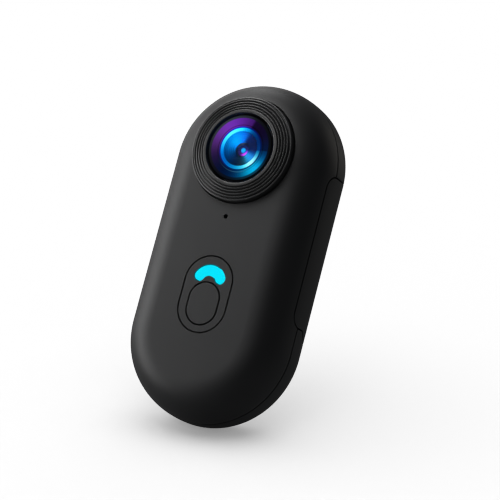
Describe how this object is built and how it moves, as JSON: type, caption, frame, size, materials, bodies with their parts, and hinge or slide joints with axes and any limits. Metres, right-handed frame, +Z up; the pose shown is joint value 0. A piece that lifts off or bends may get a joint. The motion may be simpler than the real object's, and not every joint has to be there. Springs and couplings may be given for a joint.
{
  "type": "action camera",
  "caption": "Thumb-sized wearable action camera: matte black pill body, ribbed lens bezel, round-ended shutter button with a light arc, hinged side door over its ports.",
  "frame": {"origin": "centre of the flat back face", "axes": "+X to the right of someone facing the lens, +Y out of the back face, +Z up along the body towards the lens end"},
  "size_m": [0.028, 0.0146, 0.0566],
  "materials": {
    "shell_black": "soft-touch matte black",
    "panel_black": "fine satin black",
    "ring_black": "anodised satin black with turned ribs",
    "barrel_black": "deep matte black",
    "retainer_slate": "satin dark slate anodised",
    "aperture_black": "matte black blade",
    "cover_glass": "clear coated flat glass",
    "lens_violet": "curved glass with violet coating",
    "lens_blue": "curved glass with blue coating",
    "filter_glass": "flat infrared filter",
    "seal_black": "matte silicone",
    "seal_grey": "matte grey silicone",
    "mesh_black": "fine acoustic mesh",
    "light_cyan": "diffusing light guide, glows cyan",
    "led_white": "small surface-mount lamp",
    "board_green": "solder mask with satin sheen",
    "chip_black": "moulded epoxy",
    "sensor_dark": "glossy sensor package",
    "flex_amber": "amber polyimide film",
    "steel_bright": "bright stamped steel",
    "mic_gold": "gold-washed can",
    "plunger_tan": "moulded nylon",
    "chassis_alloy": "bead-blasted",
    "battery_foil": "laminated foil pouch",
    "lead_red": "coloured insulation",
    "connector_cream": "moulded nylon",
    "magnet_nickel": "nickel plate"
  },
  "bodies": {
    "casing": {"front_shell": "shell_black", "rear_shell": "shell_black", "control_plate": "panel_black", "lens_ring": "ring_black", "lens_barrel": "barrel_black", "sensor_holder": "barrel_black", "port_frame": "barrel_black", "lens_retainer": "retainer_slate", "aperture_stop": "aperture_black", "cover_glass": "cover_glass", "front_element": "lens_violet", "middle_element": "lens_blue", "rear_element": "lens_blue", "ir_filter": "filter_glass", "shell_gasket": "seal_black", "lens_gasket": "seal_black", "mic_gasket": "seal_black", "mic_mesh": "mesh_black", "light_pipe": "light_cyan", "status_led": "led_white", "main_board": "board_green", "front_board": "board_green", "sensor_board": "board_green", "processor": "chip_black", "memory_chip": "chip_black", "power_chip": "chip_black", "usb_c_tongue": "chip_black", "image_sensor": "sensor_dark", "sensor_flex": "flex_amber", "front_flex": "flex_amber", "wifi_antenna": "flex_amber", "usb_c_shell": "steel_bright", "card_socket": "steel_bright", "shield_can": "steel_bright", "tact_switch": "steel_bright", "hinge_pin": "steel_bright", "chassis_screw_1": "steel_bright", "chassis_screw_2": "steel_bright", "chassis_screw_3": "steel_bright", "chassis_screw_4": "steel_bright", "microphone": "mic_gold", "chassis": "chassis_alloy", "battery": "battery_foil", "battery_lead": "lead_red", "battery_connector": "connector_cream", "upper_magnet": "magnet_nickel", "lower_magnet": "magnet_nickel"},
    "button": {"shutter_button": "panel_black", "switch_plunger": "plunger_tan"},
    "door": {"side_door": "shell_black", "door_gasket": "seal_grey"},
    "memory_card": {"micro_sd_card": "chip_black"}
  },
  "joints": [
    {"name": "shutter_press", "type": "slide", "parent": "casing", "child": "button", "axis": [0, 1, 0], "range_m": [0, 0.0004], "stiffness_N_per_m": 1500, "springref_m": -0.0003},
    {"name": "side_door_hinge", "type": "hinge", "parent": "casing", "child": "door", "pos_m": [0.0129, -0.0026, 0.00145], "axis": [0, 0, 1], "range_deg": [0, 100]},
    {"name": "card_push", "type": "slide", "parent": "casing", "child": "memory_card", "axis": [-1, 0, 0], "range_m": [0, 0.0008], "stiffness_N_per_m": 300, "springref_m": -0.001}
  ]
}
